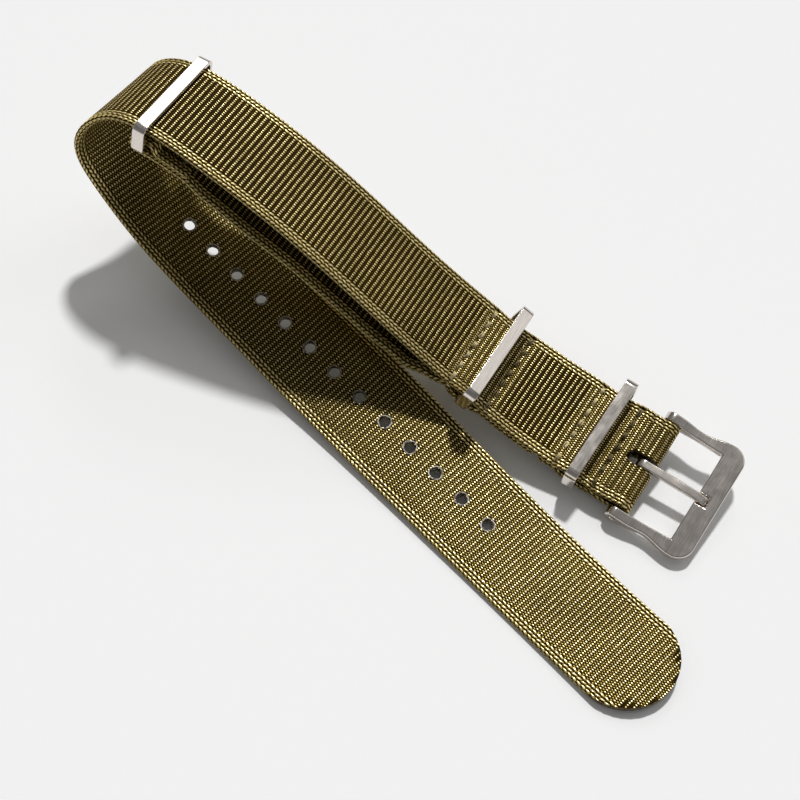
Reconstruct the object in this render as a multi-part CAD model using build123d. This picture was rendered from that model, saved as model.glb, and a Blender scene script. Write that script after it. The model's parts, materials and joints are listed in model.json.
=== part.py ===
from build123d import *
import math
import os

# Webbing watch strap with a pin buckle and three metal keeper rings, lying folded on a table.
# Millimetres. +Z is up, the tail runs along +X, and the origin is under the middle of the
# whole strap, on the table. Lengths along the strap are counted from the buckle's bar.

# Webbing
STRAP_WIDTH = 19.6
STRAP_THICKNESS = 1.2
STRAP_LENGTH = 273.4
LAYER_GAP = 0.05

# Sizing holes in the tail
HOLE_COUNT = 13
HOLE_PITCH = 6.66
HOLE_RADIUS = 1.1
FIRST_HOLE_LENGTH = 151.0

# Rings: flat band bent to a rounded rectangle
RING_SIDE_CLEARANCE = 0.8
RING_HEIGHT = 6.4
RING_BAND_WIDTH = 2.35
RING_BAND_THICKNESS = 0.8
RING_CORNER_RADIUS = 1.6
RING_POCKET_CLEARANCE = 0.36
RING_OVER_STRAP_CLEARANCE = 0.45
RING_LENGTHS = {"front": 9.5, "middle": 33.5, "rear": 107.0}
PINCH_AT_RINGS = 0.8
PINCH_REACH = 3.6

# Spring bar
BAR_RADIUS = 0.9
BAR_BORE_RADIUS = 0.56
BAR_LIP_THICKNESS = 0.4
BAR_IN_FOLD_CLEARANCE = 0.1
PLUNGER_RADIUS = 0.5
PLUNGER_TIP_RADIUS = 0.4
PLUNGER_BODY_LENGTH = 3.2
PLUNGER_STROKE = 1.0
PIN_CLEARANCE = 0.05
SPRING_WIRE_RADIUS = 0.1
SPRING_COIL_RADIUS = 0.36
SPRING_TURNS = 18

# Buckle frame
LUG_SIDE_CLEARANCE = 0.35
LUG_THICKNESS = 1.9
LUG_RADIUS = 1.6
LUG_TO_BAR_END_GAP = 0.15
FRAME_REACH = 15.2
FRONT_FLARE = 0.55
FRAME_THICKNESS = 1.7
FRAME_CORNER_RADIUS = 3.2
FRONT_BAR_WIDTH = 4.4
WINDOW_FRONT_INSET = 0.4
WAIST_INSET = 0.35
FRAME_TILT_DEGREES = 5.3

# Buckle tongue
TONGUE_WIDTH = 1.7
TONGUE_THICKNESS = 1.1
TONGUE_TIP_THICKNESS = 0.6
TONGUE_EYE_WALL = 0.65
TONGUE_RISE = 0.55
TONGUE_SEAT_CLEARANCE = 0.03
NOTCH_DEPTH = 0.6
NOTCH_REACH = 2.2
NOTCH_SIDE_CLEARANCE = 0.25

# Tongue slot in the folded end of the webbing
SLOT_SIDE_CLEARANCE = 0.45
SLOT_TOP_LENGTH = 3.4

# Sewing
THREAD_RADIUS = 0.18
STITCHES_PER_ROW = 7
STITCH_PITCH = 2.6
STITCH_SPAN_SHARE = 0.62
FRONT_ROW_DISTANCE = 4.0
MIDDLE_ROW_DISTANCE = 4.2
FLAP_END_LENGTH = 16.3
KEEPER_START_LENGTH = 17.9
KEEPER_STUB_LENGTH = 10.5
KEEPER_ROW_FROM_STUB_END = 2.0
POCKET_HALF_LENGTH = 1.8

# How the strap lies: direction in plan, climb and twist at stations along its length
HEADING_STATION_SHARES = (0, 0.146, 0.274, 0.395, 0.446, 0.505, 0.585, 0.732, 0.896, 1)
HEADING_DEGREES = (192, 196, 196, 198, 208, 185.5, 182, 180.5, 179.5, 180.5)
CLIMB_STATION_SHARES = (
    0, 0.055, 0.128, 0.219, 0.311, 0.391, 0.435, 0.465, 0.49, 0.523, 0.585, 0.677, 0.786, 1
)
CLIMB_DEGREES = (-4, 7, 20.5, 27.5, 19.5, 3, -56, -105, -132.5, -149, -170.5, -174, -175, -184)
TWIST_STATION_SHARES = (0, 0.183, 0.395, 0.476, 0.567, 0.695, 0.841, 1)
TWIST_DEGREES = (12, -2.5, -5.5, -23, -7, -16, -4.5, -1.5)

# How far the short keeper strap bows out below the main strap, as shares of the ring's height
KEEPER_BOW_STATION_SHARES = (0.138, 0.149, 0.167, 0.206, 0.255, 0.301, 0.337, 0.357)
KEEPER_BOW_SHARES = (0, 0.22, 0.6, 0.72, 0.78, 0.9, 0.84, 0.68)

# Loft stations and path steps
PATH_STEPS = 564
LONG_STEP = 4.0
LOOP_STEP = 1.3
SHORT_STEP = 0.9
LOOP_START_SHARE = 0.37
LOOP_END_SHARE = 0.56
FOLD_SECTION_COUNT = 8

ring_length = STRAP_WIDTH + 2 * (RING_SIDE_CLEARANCE + RING_BAND_THICKNESS)
fold_width = STRAP_WIDTH - PINCH_AT_RINGS
lug_gap = fold_width + 2 * LUG_SIDE_CLEARANCE
lug_half = lug_gap / 2 + LUG_THICKNESS
front_width = 2 * (lug_half + FRONT_FLARE)
window_half = lug_gap / 2 - WINDOW_FRONT_INSET
fold_radius = BAR_RADIUS + BAR_IN_FOLD_CLEARANCE + STRAP_THICKNESS / 2
pocket_half_height = RING_BAND_THICKNESS / 2 + RING_POCKET_CLEARANCE
pocket_depth = 2 * pocket_half_height + STRAP_THICKNESS
closed_depth = STRAP_THICKNESS + LAYER_GAP
sewn_bar_depth = STRAP_THICKNESS / 2 + pocket_half_height
rear_ring_top = STRAP_THICKNESS / 2 + RING_OVER_STRAP_CLEARANCE + RING_BAND_THICKNESS
rear_bar_depth = RING_HEIGHT - rear_ring_top - RING_BAND_THICKNESS / 2
pocket_fold_radius = pocket_half_height + STRAP_THICKNESS / 2
pocket_fold_shift = RING_BAND_WIDTH / 2 - RING_POCKET_CLEARANCE / 2


def cubic_value(stations, values, at):
    """Value of a smooth curve through stations."""
    last = len(stations) - 1
    slopes = []
    for index in range(last + 1):
        low = max(index - 1, 0)
        high = min(index + 1, last)
        slopes.append((values[high] - values[low]) / (stations[high] - stations[low]))
    index = 0
    while index < last - 1 and at > stations[index + 1]:
        index += 1
    span = stations[index + 1] - stations[index]
    share = (at - stations[index]) / span
    rest = 1 - share
    return (
        (1 + 2 * share) * rest**2 * values[index]
        + share * rest**2 * span * slopes[index]
        + share**2 * (3 - 2 * share) * values[index + 1]
        - share**2 * rest * span * slopes[index + 1]
    )


def eased_value(stations, values, at):
    """Value that eases from one station to the next and never overshoots."""
    if at <= stations[0]:
        return values[0]
    for index in range(len(stations) - 1):
        if at <= stations[index + 1]:
            share = (at - stations[index]) / (stations[index + 1] - stations[index])
            ease = share**2 * (3 - 2 * share)
            return values[index] + ease * (values[index + 1] - values[index])
    return values[-1]


def direction_at(share):
    """Unit vectors along and across the strap at a share of its length."""
    heading = math.radians(cubic_value(HEADING_STATION_SHARES, HEADING_DEGREES, share))
    climb = math.radians(cubic_value(CLIMB_STATION_SHARES, CLIMB_DEGREES, share))
    twist = math.radians(cubic_value(TWIST_STATION_SHARES, TWIST_DEGREES, share))
    flat = math.cos(climb)
    along = Vector(flat * math.cos(heading), flat * math.sin(heading), math.sin(climb))
    level = Vector(math.sin(heading), -math.cos(heading), 0)
    lift = level.cross(along)
    across = level * math.cos(twist) + lift * math.sin(twist)
    return along, across


def walk_strap():
    """Step along the strap and keep its centre line."""
    centre = Vector(0, 0, 0)
    step = STRAP_LENGTH / PATH_STEPS
    before = direction_at(0)[0]
    centres = [centre]
    for index in range(1, PATH_STEPS + 1):
        along = direction_at(index / PATH_STEPS)[0]
        centre = centre + (before + along) * (step / 2)
        centres.append(centre)
        before = along
    return centres


strap_centres = walk_strap()


def centre_at(length):
    """Point on the centre line at a length from the bar."""
    place = min(max(length / STRAP_LENGTH * PATH_STEPS, 0), PATH_STEPS - 1)
    index = int(place)
    share = length / STRAP_LENGTH * PATH_STEPS - index
    return strap_centres[index] + (strap_centres[index + 1] - strap_centres[index]) * share


def seat_at(length, depth=0):
    """Plane below the centre line: X towards the buckle, Y across, Z out of the outer face."""
    along, across = direction_at(length / STRAP_LENGTH)
    outward = across.cross(along)
    return Plane(origin=centre_at(length) - outward * depth, x_dir=-along, z_dir=outward)


def width_at(length):
    """Width of the webbing, drawn in at the sewn rings and at the fold."""
    drawn_in = 0
    for place in (0, RING_LENGTHS["front"], RING_LENGTHS["middle"]):
        drawn_in = max(drawn_in, math.exp(-(((length - place) / PINCH_REACH) ** 2)))
    return STRAP_WIDTH - PINCH_AT_RINGS * drawn_in


def even_lengths(start, end, step):
    """Lengths from start to end, spaced by about a step."""
    count = max(1, round(abs(end - start) / step))
    return [start + (end - start) * index / count for index in range(count + 1)]


def fold_seats(length, depth, radius, from_degrees, to_degrees):
    """Places round a half turn of webbing, about an axis across the strap."""
    axis = seat_at(length, depth)
    seats = []
    for index in range(1, FOLD_SECTION_COUNT):
        share = index / FOLD_SECTION_COUNT
        turn = math.radians(from_degrees + (to_degrees - from_degrees) * share)
        out = axis.x_dir * math.sin(turn) + axis.z_dir * math.cos(turn)
        seats.append((axis.origin + out * radius, axis.y_dir, width_at(length)))
    return seats


def layer_seats(lengths, depth_at):
    """Places along a layer of webbing at a depth below the main strap's centre line."""
    seats = []
    for length in lengths:
        seat = seat_at(length, depth_at(length))
        seats.append((seat.origin, seat.y_dir, width_at(length)))
    return seats


def ribbon(seats):
    """Solid webbing through a list of centres, each with its direction across and its width."""
    sections = []
    last = len(seats) - 1
    for index, (centre, across, width) in enumerate(seats):
        ahead = seats[min(index + 1, last)][0] - seats[max(index - 1, 0)][0]
        square = (ahead - across * ahead.dot(across)).normalized()
        plane = Plane(origin=centre, x_dir=across, z_dir=square)
        sections.append(plane * Rectangle(width, STRAP_THICKNESS))
    return loft(sections, ruled=True)


def flap_depth(length):
    """Depth of the folded-back end: round the bar, pinched by sewing, round the front ring."""
    ring = RING_LENGTHS["front"]
    stations = (
        0,
        ring - FRONT_ROW_DISTANCE,
        ring - POCKET_HALF_LENGTH,
        ring + POCKET_HALF_LENGTH,
        ring + FRONT_ROW_DISTANCE,
    )
    sewn_depth = (closed_depth + pocket_depth) / 2
    depths = (2 * fold_radius, sewn_depth, pocket_depth, pocket_depth, closed_depth)
    return eased_value(stations, depths, length)


def keeper_depth(length):
    """Depth of the keeper strap: sewn on near the middle ring, then bowed out below."""
    ring = RING_LENGTHS["middle"]
    stations = (
        ring - MIDDLE_ROW_DISTANCE,
        ring - POCKET_HALF_LENGTH,
        ring + POCKET_HALF_LENGTH,
        ring + MIDDLE_ROW_DISTANCE,
    )
    depths = (closed_depth, pocket_depth, pocket_depth, closed_depth)
    sewn = eased_value(stations, depths, length)
    bow = eased_value(KEEPER_BOW_STATION_SHARES, KEEPER_BOW_SHARES, length / STRAP_LENGTH)
    end_depth = rear_bar_depth + pocket_fold_radius
    settle_start = RING_LENGTHS["rear"] - 2 * POCKET_HALF_LENGTH
    settle = eased_value((settle_start, RING_LENGTHS["rear"] - POCKET_HALF_LENGTH), (0, 1), length)
    free = sewn + bow * RING_HEIGHT
    return free + (end_depth - free) * settle


def stub_depth(length):
    """Depth of the keeper strap's turned-back end, which lies on its own outer face."""
    ring = RING_LENGTHS["rear"]
    stations = (ring - 2 * POCKET_HALF_LENGTH, ring - POCKET_HALF_LENGTH)
    lift = eased_value(stations, (closed_depth, 2 * pocket_fold_radius), length)
    return keeper_depth(length) - lift


def make_main_strap():
    """Long webbing: fold round the bar, top layer, loop and tail with a round tip and holes."""
    front = RING_LENGTHS["front"]
    loop_start = LOOP_START_SHARE * STRAP_LENGTH
    loop_end = LOOP_END_SHARE * STRAP_LENGTH
    seats = layer_seats(even_lengths(FLAP_END_LENGTH, 0, SHORT_STEP), flap_depth)
    seats += fold_seats(0, fold_radius, fold_radius, 180, 0)
    lengths = even_lengths(0, loop_start, LONG_STEP)
    lengths += even_lengths(loop_start, loop_end, LOOP_STEP)[1:]
    lengths += even_lengths(loop_end, STRAP_LENGTH, LONG_STEP)[1:]
    seats += layer_seats(lengths, lambda length: 0)
    cutters = [tongue_slot(), tip_waste()]
    for index in range(HOLE_COUNT):
        seat = seat_at(FIRST_HOLE_LENGTH + index * HOLE_PITCH)
        cutters.append(seat.location * Cylinder(HOLE_RADIUS, 2 * STRAP_THICKNESS))
    return ribbon(seats) - cutters


def tongue_slot():
    """Slot through the folded end, from the top layer round to the layer beneath."""
    width = TONGUE_WIDTH + 2 * SLOT_SIDE_CLEARANCE
    reach = fold_radius + STRAP_THICKNESS
    height = 2 * (fold_radius + STRAP_THICKNESS)
    length = reach + SLOT_TOP_LENGTH - width / 2
    cutter = Pos((reach - SLOT_TOP_LENGTH + width / 2) / 2, 0, 0) * Box(length, width, height)
    cutter += Pos(-SLOT_TOP_LENGTH + width / 2, 0, 0) * Cylinder(width / 2, height)
    return seat_at(0, fold_radius).location * cutter


def tip_waste():
    """What is cut away from the tail's end to leave it round."""
    radius = STRAP_WIDTH / 2
    height = 4 * STRAP_THICKNESS
    block = Pos(-radius, 0, 0) * Box(2 * radius, 2 * STRAP_WIDTH, height)
    block -= Cylinder(radius, height)
    return seat_at(STRAP_LENGTH - radius).location * block


def make_keeper_strap():
    """Short webbing under the main strap, its end folded round the rear ring's lower bar."""
    fold_length = RING_LENGTHS["rear"] + pocket_fold_shift
    stub_end = RING_LENGTHS["rear"] - KEEPER_STUB_LENGTH
    sewn_end = RING_LENGTHS["middle"] + 2 * MIDDLE_ROW_DISTANCE
    lengths = even_lengths(KEEPER_START_LENGTH, sewn_end, SHORT_STEP)
    lengths += even_lengths(sewn_end, stub_end, LONG_STEP)[1:]
    lengths += even_lengths(stub_end, fold_length, SHORT_STEP)[1:]
    seats = layer_seats(lengths, keeper_depth)
    seats += fold_seats(fold_length, rear_bar_depth, pocket_fold_radius, 180, 360)
    seats += layer_seats(even_lengths(fold_length, stub_end, SHORT_STEP), stub_depth)
    return ribbon(seats)


def make_ring(length, bar_depth):
    """One keeper ring, with its lower bar at a depth below the main strap's centre line."""
    inner_length = ring_length - 2 * RING_BAND_THICKNESS
    inner_height = RING_HEIGHT - 2 * RING_BAND_THICKNESS
    inner_radius = RING_CORNER_RADIUS - RING_BAND_THICKNESS
    outline = RectangleRounded(ring_length, RING_HEIGHT, RING_CORNER_RADIUS)
    outline -= RectangleRounded(inner_length, inner_height, inner_radius)
    band = extrude(Plane.YZ * outline, RING_BAND_WIDTH / 2, both=True)
    return ring_axis(length, bar_depth).location * Pos(0, 0, ring_centre_height()) * band


def ring_axis(length, bar_depth):
    """Plane on the middle of a ring's lower bar."""
    return seat_at(length, bar_depth)


def ring_centre_height():
    """Height of a ring's middle above its lower bar."""
    return (RING_HEIGHT - RING_BAND_THICKNESS) / 2


def bar_seat():
    """Plane on the middle of the buckle's bar, X towards the strap's end."""
    return seat_at(0, fold_radius)


def frame_seat():
    """Plane of the buckle frame on the bar, tilted down to the table."""
    return Plane(bar_seat().location * Rot(0, FRAME_TILT_DEGREES, 0))


def make_bar_tube():
    """Tube of the spring bar, with a lip at each end that holds a plunger."""
    length = lug_gap - 2 * LUG_TO_BAR_END_GAP
    lip_radius = PLUNGER_TIP_RADIUS + PIN_CLEARANCE
    tube = Cylinder(BAR_RADIUS, length)
    tube -= Cylinder(BAR_BORE_RADIUS, length - 2 * BAR_LIP_THICKNESS)
    tube -= Cylinder(lip_radius, length)
    return bar_seat().location * Rot(90, 0, 0) * tube


def plunger_body_end():
    """Distance from the middle to the outer end of a plunger's body."""
    return lug_gap / 2 - LUG_TO_BAR_END_GAP - BAR_LIP_THICKNESS - PIN_CLEARANCE


def make_plunger(side):
    """Plunger of the spring bar: a body in the tube and a tip in the lug's hole."""
    body_end = plunger_body_end()
    tip_end = lug_half - LUG_THICKNESS / 4
    body_middle = body_end - PLUNGER_BODY_LENGTH / 2
    tip_length = tip_end - body_middle
    body = Pos(0, 0, -side * body_middle) * Cylinder(PLUNGER_RADIUS, PLUNGER_BODY_LENGTH)
    tip_middle = body_middle + tip_length / 2
    tip = Pos(0, 0, -side * tip_middle) * Cylinder(PLUNGER_TIP_RADIUS, tip_length)
    return bar_seat().location * Rot(90, 0, 0) * (body + tip)


def make_bar_spring():
    """Coil spring between the two plungers."""
    half_length = plunger_body_end() - PLUNGER_BODY_LENGTH - SPRING_WIRE_RADIUS - PIN_CLEARANCE
    pitch = 2 * half_length / SPRING_TURNS
    coil = Helix(pitch, 2 * half_length, SPRING_COIL_RADIUS)
    profile = Plane(origin=coil @ 0, z_dir=coil % 0) * Circle(SPRING_WIRE_RADIUS)
    wire = sweep(profile, path=coil, is_frenet=True)
    return bar_seat().location * Rot(90, 0, 0) * Pos(0, 0, -half_length) * wire


def make_buckle_frame():
    """Frame: front bar, two waisted arms and the lugs that hold the bar."""
    rear = -LUG_RADIUS
    front_half = front_width / 2
    corner = FRAME_REACH - FRAME_CORNER_RADIUS
    waist = lug_half - WAIST_INSET
    neck = LUG_RADIUS
    window_end = FRAME_REACH - FRONT_BAR_WIDTH
    bend = FRAME_CORNER_RADIUS * math.sqrt(0.5)
    edges = []
    for side in (1, -1):
        edges.append(Line((rear, side * lug_gap / 2), (rear, side * lug_half)))
        edges.append(Line((rear, side * lug_half), (neck, side * lug_half)))
        flare = (
            (neck, side * lug_half),
            ((neck + corner) / 2, side * waist),
            (corner, side * front_half),
        )
        edges.append(Spline(*flare, tangents=((1, 0), (1, 0))))
        edges.append(
            ThreePointArc(
                (corner, side * front_half),
                (corner + bend, side * (front_half - FRAME_CORNER_RADIUS + bend)),
                (FRAME_REACH, side * (front_half - FRAME_CORNER_RADIUS)),
            )
        )
        edges.append(Line((rear, side * lug_gap / 2), (window_end, side * window_half)))
    straight_half = front_half - FRAME_CORNER_RADIUS
    edges.append(Line((FRAME_REACH, straight_half), (FRAME_REACH, -straight_half)))
    edges.append(Line((window_end, window_half), (window_end, -window_half)))
    frame = extrude(make_face(edges), LUG_RADIUS, both=True)
    frame &= frame_side_profile()
    hole = Rot(90, 0, 0) * Cylinder(PLUNGER_TIP_RADIUS + PIN_CLEARANCE, 2 * front_width)
    notch_width = TONGUE_WIDTH + 2 * NOTCH_SIDE_CLEARANCE
    notch = Box(2 * NOTCH_REACH, notch_width, 2 * NOTCH_DEPTH)
    frame -= hole
    frame -= Pos(window_end, 0, FRAME_THICKNESS / 2) * notch
    return frame_seat().location * frame


def frame_side_profile():
    """Side view of the frame: round lugs that taper to the flat plate."""
    half = FRAME_THICKNESS / 2
    taper_end = 3 * LUG_RADIUS
    far = FRAME_REACH + LUG_RADIUS
    width = 2 * front_width
    top = ((0, LUG_RADIUS), (taper_end, half), (far, half))
    bottom = ((far, -half), (taper_end, -half), (0, -LUG_RADIUS))
    side_view = make_face(Polyline(*top, *bottom, close=True))
    plate = extrude(Plane.XZ * side_view, width / 2, both=True)
    return plate + Rot(90, 0, 0) * Cylinder(LUG_RADIUS, width)


def make_buckle_tongue():
    """Tongue: an eye round the bar, a raised shank and a flat tip in the front bar's notch."""
    eye_bore = BAR_RADIUS + PIN_CLEARANCE
    eye_radius = eye_bore + TONGUE_EYE_WALL
    seat = FRAME_THICKNESS / 2 - NOTCH_DEPTH + TONGUE_SEAT_CLEARANCE
    tip = FRAME_REACH - FRONT_BAR_WIDTH + NOTCH_REACH - NOTCH_SIDE_CLEARANCE
    tip_start = tip - NOTCH_REACH
    crest = tip / 2
    top = (
        (0, eye_radius),
        (crest, FRAME_THICKNESS / 2 + TONGUE_RISE),
        (tip_start, seat + TONGUE_TIP_THICKNESS + TONGUE_TIP_THICKNESS / 2),
        (tip, seat + TONGUE_TIP_THICKNESS),
    )
    bottom = (
        (tip, seat),
        (tip_start, seat),
        (crest, FRAME_THICKNESS / 2 + TONGUE_RISE - TONGUE_THICKNESS),
        (0, eye_radius - TONGUE_THICKNESS),
    )
    upper = Spline(*top)
    lower = Spline(*bottom)
    ends = (Line(top[-1], bottom[0]), Line(bottom[-1], top[0]))
    shank = extrude(Plane.XZ * make_face([upper, lower, *ends]), TONGUE_WIDTH / 2, both=True)
    tongue = shank + Rot(90, 0, 0) * Cylinder(eye_radius, TONGUE_WIDTH)
    tongue -= Rot(90, 0, 0) * Cylinder(eye_bore, 2 * TONGUE_WIDTH)
    return frame_seat().location * tongue


def stitch_row(length, top_depth, bottom_depth):
    """Row of separate thread loops across the strap, each through two layers of webbing."""
    over = STRAP_THICKNESS / 2 + THREAD_RADIUS
    high = over - top_depth
    low = -bottom_depth - over
    half_span = STITCH_PITCH * STITCH_SPAN_SHARE / 2
    bend = 2 * THREAD_RADIUS
    upper = ((-half_span, high), (half_span, high))
    lower = ((half_span, low), (-half_span, low))
    route = make_face(Polyline(*upper, *lower, close=True))
    loop_face = fillet(route.vertices(), bend)
    outer = offset(loop_face, THREAD_RADIUS)
    inner = offset(loop_face, -THREAD_RADIUS)
    loop = extrude(Plane.YZ * (outer - inner), THREAD_RADIUS, both=True)
    place = seat_at(length).location
    row = []
    for index in range(STITCHES_PER_ROW):
        across = (index - (STITCHES_PER_ROW - 1) / 2) * STITCH_PITCH
        row.append(place * Pos(0, across, 0) * loop)
    return Compound(children=row)


def make_parts():
    """All the pieces by node name, in the strap's own frame."""
    front = RING_LENGTHS["front"]
    middle = RING_LENGTHS["middle"]
    rear = RING_LENGTHS["rear"]
    end_row = rear - KEEPER_STUB_LENGTH + KEEPER_ROW_FROM_STUB_END
    parts = {
        "main_strap": make_main_strap(),
        "keeper_strap": make_keeper_strap(),
        "front_ring": make_ring(front, sewn_bar_depth),
        "middle_ring": make_ring(middle, sewn_bar_depth),
        "rear_ring": make_ring(rear, rear_bar_depth),
        "buckle_frame": make_buckle_frame(),
        "buckle_tongue": make_buckle_tongue(),
        "bar_tube": make_bar_tube(),
        "bar_spring": make_bar_spring(),
        "near_plunger": make_plunger(-1),
        "far_plunger": make_plunger(1),
        "keeper_end_stitches": stitch_row(end_row, stub_depth(end_row), keeper_depth(end_row)),
    }
    for name, side in (("bar_side", -1), ("loop_side", 1)):
        place = front + side * FRONT_ROW_DISTANCE
        parts[f"front_ring_{name}_stitches"] = stitch_row(place, 0, flap_depth(place))
        place = middle + side * MIDDLE_ROW_DISTANCE
        parts[f"middle_ring_{name}_stitches"] = stitch_row(place, 0, keeper_depth(place))
    return parts


def table_shift(parts):
    """Move that sets the whole strap on the table with the origin under its middle."""
    boxes = [piece.bounding_box() for piece in parts.values()]
    low_x, high_x = min(box.min.X for box in boxes), max(box.max.X for box in boxes)
    low_y, high_y = min(box.min.Y for box in boxes), max(box.max.Y for box in boxes)
    low_z = min(box.min.Z for box in boxes)
    return Pos(-(low_x + high_x) / 2, -(low_y + high_y) / 2, -low_z)


def main():
    os.makedirs("parts", exist_ok=True)
    parts = make_parts()
    shift = table_shift(parts)
    for name, solid in parts.items():
        export_step(shift * solid, f"parts/{name}.step")


if __name__ == "__main__":
    main()
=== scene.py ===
"""Looks of a folded webbing watch strap: woven skins, sewing, steel, floor, light and camera.

Sizes are in millimetres and turned into metres with MM, angles that are fields are in degrees,
scales of noise are per metre, and lengths along the strap are counted from the buckle's bar.
"""

import json
import logging
import math
import random
from dataclasses import dataclass, field
from enum import Enum

import bpy
from mathutils import Matrix, Vector

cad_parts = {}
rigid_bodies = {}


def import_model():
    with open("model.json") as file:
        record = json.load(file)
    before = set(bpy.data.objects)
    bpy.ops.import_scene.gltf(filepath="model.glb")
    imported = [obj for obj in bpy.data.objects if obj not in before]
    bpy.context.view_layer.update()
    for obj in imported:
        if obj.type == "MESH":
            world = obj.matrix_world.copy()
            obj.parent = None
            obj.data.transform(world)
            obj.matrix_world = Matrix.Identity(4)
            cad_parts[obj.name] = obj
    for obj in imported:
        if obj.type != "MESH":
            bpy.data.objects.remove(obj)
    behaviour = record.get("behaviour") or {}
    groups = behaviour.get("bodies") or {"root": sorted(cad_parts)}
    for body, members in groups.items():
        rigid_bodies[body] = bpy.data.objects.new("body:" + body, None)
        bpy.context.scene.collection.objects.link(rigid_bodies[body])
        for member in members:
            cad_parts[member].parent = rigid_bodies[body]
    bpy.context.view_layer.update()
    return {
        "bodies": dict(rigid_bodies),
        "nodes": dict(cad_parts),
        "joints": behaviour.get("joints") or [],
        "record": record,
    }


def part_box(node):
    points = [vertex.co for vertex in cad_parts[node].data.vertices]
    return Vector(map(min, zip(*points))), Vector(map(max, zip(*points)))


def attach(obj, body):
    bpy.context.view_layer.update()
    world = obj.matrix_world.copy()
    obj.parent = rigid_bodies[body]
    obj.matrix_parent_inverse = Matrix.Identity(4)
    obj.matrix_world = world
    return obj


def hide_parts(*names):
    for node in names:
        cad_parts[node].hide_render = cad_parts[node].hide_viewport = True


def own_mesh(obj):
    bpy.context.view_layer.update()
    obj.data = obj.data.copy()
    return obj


MM = 0.001
WEB_WIDTH = 19.6
WEB_THICKNESS = 1.2
RIB_PITCH = 1.035
SELVEDGE = 1.95
STITCH_PITCH = 2.6
STITCH_COUNT = 7
WELD_DISTANCE = 0.000001
TUBE_ROUNDNESS = 2

Thing = bpy.types.Object
Material = bpy.types.Material
Socket = bpy.types.NodeSocket
log = logging.getLogger("watch_strap")


class Face(Enum):
    """Side of the webbing a point of its skin lies on."""

    OUTER = 1.0
    EDGE = 0.0
    INNER = -1.0


def cubic_value(stations: tuple, values: tuple, at: float) -> float:
    """Value of a smooth curve through stations.

    Args:
        stations: rising places of the known values.
        values: the value at each station.
        at: the place asked for.

    Returns:
        The value there.
    """
    last = len(stations) - 1
    slopes = []
    for index in range(last + 1):
        low = max(index - 1, 0)
        high = min(index + 1, last)
        slopes.append((values[high] - values[low]) / (stations[high] - stations[low]))
    index = 0
    while index < last - 1 and at > stations[index + 1]:
        index += 1
    span = stations[index + 1] - stations[index]
    share = (at - stations[index]) / span
    rest = 1 - share
    return (
        (1 + 2 * share) * rest**2 * values[index]
        + share * rest**2 * span * slopes[index]
        + share**2 * (3 - 2 * share) * values[index + 1]
        - share**2 * rest * span * slopes[index + 1]
    )


def eased_value(stations: tuple, values: tuple, at: float) -> float:
    """Value that eases from one station to the next and never overshoots.

    Args:
        stations: rising places of the known values.
        values: the value at each station.
        at: the place asked for.

    Returns:
        The value there.
    """
    if at <= stations[0]:
        return values[0]
    for index in range(len(stations) - 1):
        if at <= stations[index + 1]:
            share = (at - stations[index]) / (stations[index + 1] - stations[index])
            ease = share**2 * (3 - 2 * share)
            return values[index] + ease * (values[index + 1] - values[index])
    return values[-1]


def bell(distance: float, reach: float) -> float:
    """Smooth bump of height one that fades within a few reaches."""
    return math.exp(-((distance / reach) ** 2))


def deselect() -> None:
    """Leave nothing selected and no mode but object mode."""
    if bpy.context.object is not None and bpy.context.object.mode != "OBJECT":
        bpy.ops.object.mode_set(mode="OBJECT")
    bpy.ops.object.select_all(action="DESELECT")


def activate(thing: Thing) -> None:
    """Select one object alone and make it the active one.

    Args:
        thing: the object.
    """
    deselect()
    thing.select_set(True)
    bpy.context.view_layer.objects.active = thing


def settle(thing: Thing) -> None:
    """Apply an object's place to its mesh, so the object sits at the origin."""
    activate(thing)
    bpy.ops.object.transform_apply(location=True, rotation=True, scale=True)


def open_mesh(thing: Thing) -> None:
    """Go into edit mode on one mesh, with all of it selected.

    Args:
        thing: the mesh.
    """
    activate(thing)
    bpy.ops.object.mode_set(mode="EDIT")
    bpy.ops.mesh.select_all(action="SELECT")


def weld(thing: Thing) -> None:
    """Join the caps of tubes to their walls, so that the mesh is closed.

    Args:
        thing: the mesh.
    """
    open_mesh(thing)
    bpy.ops.mesh.remove_doubles(threshold=WELD_DISTANCE)
    bpy.ops.mesh.normals_make_consistent(inside=False)
    bpy.ops.object.mode_set(mode="OBJECT")


def rename(thing: Thing, name: str) -> None:
    """Name an object and its mesh."""
    thing.name = name
    thing.data.name = name


def joined(pieces: list, name: str) -> Thing:
    """Join mesh objects into one.

    Args:
        pieces: the objects, all meshes.
        name: the name of the result.

    Returns:
        The joined object.
    """
    deselect()
    for piece in pieces:
        piece.select_set(True)
    bpy.context.view_layer.objects.active = pieces[0]
    if len(pieces) > 1:
        bpy.ops.object.join()
    rename(pieces[0], name)
    return pieces[0]


def subtract(target: Thing, tool: Thing) -> None:
    """Cut one mesh out of another, whose new walls take the tool's material.

    Args:
        target: the mesh that is cut.
        tool: a closed mesh, which is used up.
    """
    activate(target)
    change = target.modifiers.new("cut", "BOOLEAN")
    change.operation = "DIFFERENCE"
    change.solver = "EXACT"
    change.material_mode = "TRANSFER"
    change.object = tool
    bpy.ops.object.modifier_apply(modifier=change.name)
    bpy.data.objects.remove(tool)


def new_curve() -> Thing:
    """Add a curve at the origin.

    Returns:
        The curve.
    """
    deselect()
    bpy.ops.curve.primitive_bezier_curve_add()
    return bpy.context.object


def tube(curve: Thing, radius: float) -> Thing:
    """Turn a curve into a tube with capped ends.

    Args:
        curve: the curve, which is used up.
        radius: the tube's radius.

    Returns:
        The tube as a mesh.
    """
    curve.data.bevel_depth = radius * MM
    curve.data.bevel_resolution = TUBE_ROUNDNESS
    curve.data.use_fill_caps = True
    activate(curve)
    bpy.ops.object.convert(target="MESH")
    return bpy.context.object


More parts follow.
